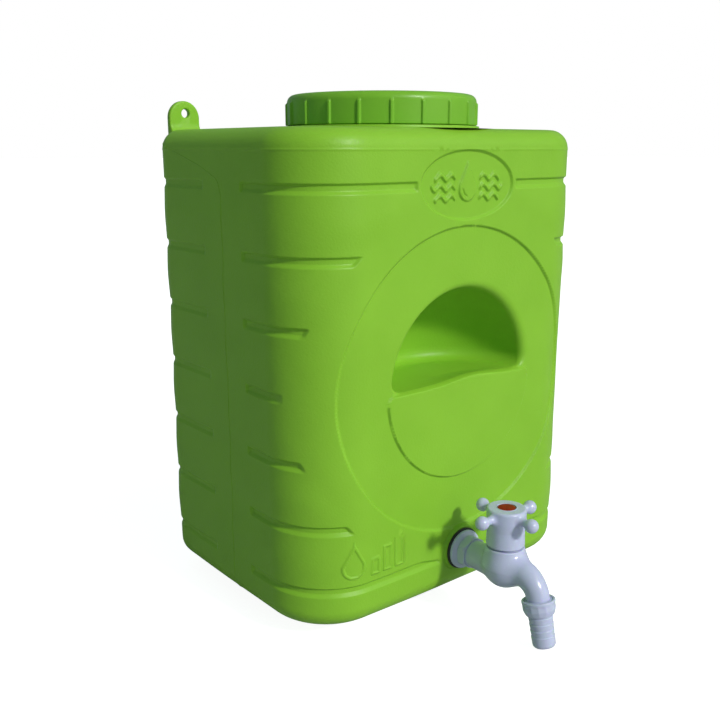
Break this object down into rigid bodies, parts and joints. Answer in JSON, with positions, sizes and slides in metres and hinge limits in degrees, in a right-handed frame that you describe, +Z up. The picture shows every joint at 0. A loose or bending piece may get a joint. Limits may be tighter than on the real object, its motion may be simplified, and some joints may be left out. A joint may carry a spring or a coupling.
{
  "type": "wall-hung water tank with tap",
  "caption": "Blow-moulded wall-hung water tank with a screw lid, a soap recess, hanging lugs and a plastic cross-handle compression tap with a hose tail.",
  "frame": {"origin": "centre of the tank's flat base, on the base plane", "axes": "+X to the right along the front, +Y to the back towards the wall, +Z up"},
  "size_m": [0.3, 0.3186, 0.4118],
  "materials": {
    "tank_green": "satin",
    "lid_green": "satin",
    "tap_white": "gloss",
    "button_red": "gloss",
    "rubber_black": "matt",
    "screw_steel": "brushed"
  },
  "bodies": {
    "root": {"tank_body": "tank_green", "tap_outer_gasket": "rubber_black", "tap_inner_gasket": "rubber_black", "tap_back_nut": "tap_white", "tap_body": "tap_white", "bonnet": "tap_white", "bonnet_gasket": "rubber_black"},
    "lid_seal": {"lid_gasket": "rubber_black"},
    "screw_lid": {"lid": "lid_green"},
    "valve": {"jumper_valve": "tap_white", "valve_washer": "rubber_black", "valve_screw": "screw_steel"},
    "handle": {"spindle": "tap_white", "spindle_o_rings": "rubber_black", "cross_handle": "tap_white", "handle_screw": "screw_steel", "handle_button": "button_red"},
    "tail": {"hose_tail": "tap_white", "tail_washer": "rubber_black"},
    "nut": {"coupling_nut": "tap_white"}
  },
  "joints": [
    {"name": "lid_lift", "type": "slide", "parent": "root", "child": "lid_seal", "axis": [0, 0, 1], "range_m": [0, 0.03]},
    {"name": "lid_turn", "type": "hinge", "parent": "lid_seal", "child": "screw_lid", "pos_m": [0, -0.007, 0.3875], "axis": [0, 0, 1], "range_deg": [0, 1080]},
    {"name": "valve_lift", "type": "slide", "parent": "root", "child": "valve", "axis": [0, 0, 1], "range_m": [0, 0.0045]},
    {"name": "handle_turn", "type": "hinge", "parent": "valve", "child": "handle", "pos_m": [0, -0.1586, 0.0675], "axis": [0, 0, 1], "range_deg": [0, 540]},
    {"name": "tail_drop", "type": "slide", "parent": "root", "child": "tail", "axis": [0, -0.23, -0.9732], "range_m": [0, 0.009]},
    {"name": "nut_turn", "type": "hinge", "parent": "tail", "child": "nut", "pos_m": [0, -0.1933, 0.02455], "axis": [0, -0.23, -0.9732], "range_deg": [0, 1800]}
  ],
  "couplings": [
    {"joint": "lid_lift", "follows": "lid_turn", "m_per_rad": 0.0015915},
    {"joint": "handle_turn", "follows": "valve_lift", "rad_per_m": 2094.4},
    {"joint": "nut_turn", "follows": "tail_drop", "rad_per_m": 3490.7}
  ]
}
